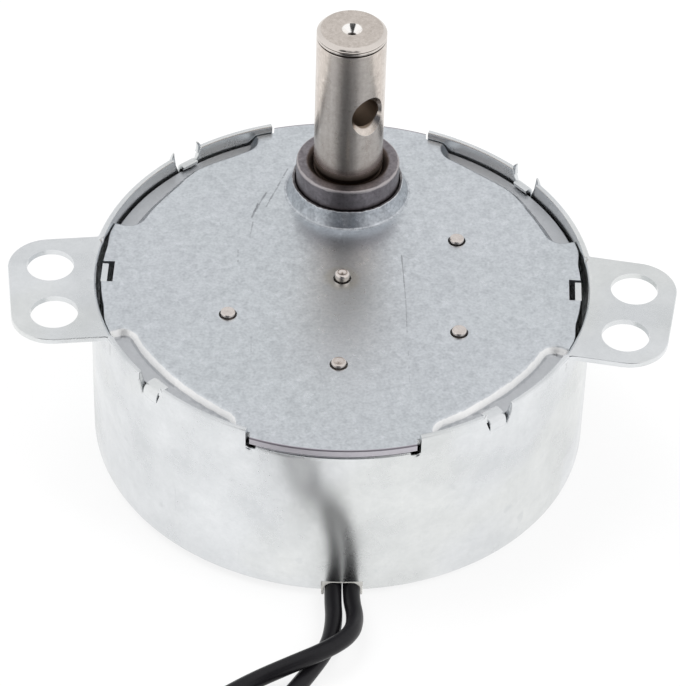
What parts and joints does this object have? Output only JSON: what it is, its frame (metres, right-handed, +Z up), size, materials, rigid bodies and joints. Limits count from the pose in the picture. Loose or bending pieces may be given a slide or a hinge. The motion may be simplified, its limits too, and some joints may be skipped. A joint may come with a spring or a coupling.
{
  "type": "synchronous gear motor",
  "caption": "Flat round-can synchronous gear motor with side mounting ears, an offset cross-drilled output shaft in a raised collar, and thin leads with bare tinned ends.",
  "frame": {"origin": "on the can's axis, in the plane of its flat bottom", "axes": "+Z up along the output shaft, +X through the ears, -Y towards the side where the leads come out"},
  "size_m": [0.0664, 0.0919, 0.04],
  "materials": {
    "can_steel": "satin",
    "cover_steel": "satin",
    "pole_steel": "matte",
    "bobbin_nylon": "matte",
    "copper_winding": "satin",
    "winding_tape": "gloss",
    "sleeve_plastic": "satin",
    "saddle_plastic": "matte",
    "ferrite": "matte",
    "rotor_plastic": "matte",
    "pin_steel": "satin",
    "gear_plastic": "satin",
    "gear_steel": "satin",
    "shaft_steel": "satin",
    "sintered_bush": "matte",
    "washer_plastic": "matte",
    "lead_insulation": "gloss",
    "tinned_copper": "satin",
    "tie_plastic": "matte"
  },
  "bodies": {
    "housing": {"case": "can_steel", "cover_plate": "cover_steel", "gear_plate": "cover_steel", "upper_pole_plate": "pole_steel", "coil_bobbin": "bobbin_nylon", "coil_winding": "copper_winding", "coil_tape": "winding_tape", "lead_joint_sleeves": "sleeve_plastic", "lead_saddle": "saddle_plastic", "rotor_axle": "pin_steel", "output_bush": "sintered_bush", "shaft_foot_bush": "sintered_bush", "thrust_washer": "washer_plastic", "lead_left": "lead_insulation", "lead_right": "lead_insulation", "lead_left_coil": "lead_insulation", "lead_right_coil": "lead_insulation", "lead_left_tip": "tinned_copper", "lead_right_tip": "tinned_copper", "lead_tie": "tie_plastic", "first_axle": "pin_steel", "second_axle": "pin_steel", "third_axle": "pin_steel", "fourth_axle": "pin_steel"},
    "output": {"output_shaft": "shaft_steel", "output_gear": "gear_steel"},
    "fourth_cluster": {"fourth_gear": "gear_steel", "fourth_pinion": "gear_steel"},
    "third_cluster": {"third_gear": "gear_steel", "third_pinion": "gear_steel"},
    "second_cluster": {"second_gear": "gear_plastic"},
    "first_cluster": {"first_gear": "gear_plastic"},
    "rotor": {"rotor_magnet": "ferrite", "rotor_hub": "rotor_plastic"}
  },
  "joints": [
    {"name": "output_turn", "type": "hinge", "parent": "housing", "child": "output", "pos_m": [0, 0.0139, 0], "axis": [0, 0, 1], "continuous": true},
    {"name": "fourth_turn", "type": "hinge", "parent": "housing", "child": "fourth_cluster", "pos_m": [0.01133, 0.00656, 0], "axis": [0, 0, 1], "continuous": true},
    {"name": "third_turn", "type": "hinge", "parent": "housing", "child": "third_cluster", "pos_m": [0.01172, -0.00743, 0], "axis": [0, 0, 1], "continuous": true},
    {"name": "second_turn", "type": "hinge", "parent": "housing", "child": "second_cluster", "pos_m": [0.00011, -0.01282, 0], "axis": [0, 0, 1], "continuous": true},
    {"name": "first_turn", "type": "hinge", "parent": "housing", "child": "first_cluster", "pos_m": [-0.01102, -0.00611, 0], "axis": [0, 0, 1], "continuous": true},
    {"name": "rotor_turn", "type": "hinge", "parent": "housing", "child": "rotor", "pos_m": [0, 0, 0], "axis": [0, 0, 1], "continuous": true}
  ],
  "couplings": [
    {"joint": "fourth_turn", "follows": "output_turn", "ratio": -2},
    {"joint": "third_turn", "follows": "output_turn", "ratio": 5},
    {"joint": "second_turn", "follows": "output_turn", "ratio": -15},
    {"joint": "first_turn", "follows": "output_turn", "ratio": 50},
    {"joint": "rotor_turn", "follows": "output_turn", "ratio": -100}
  ]
}
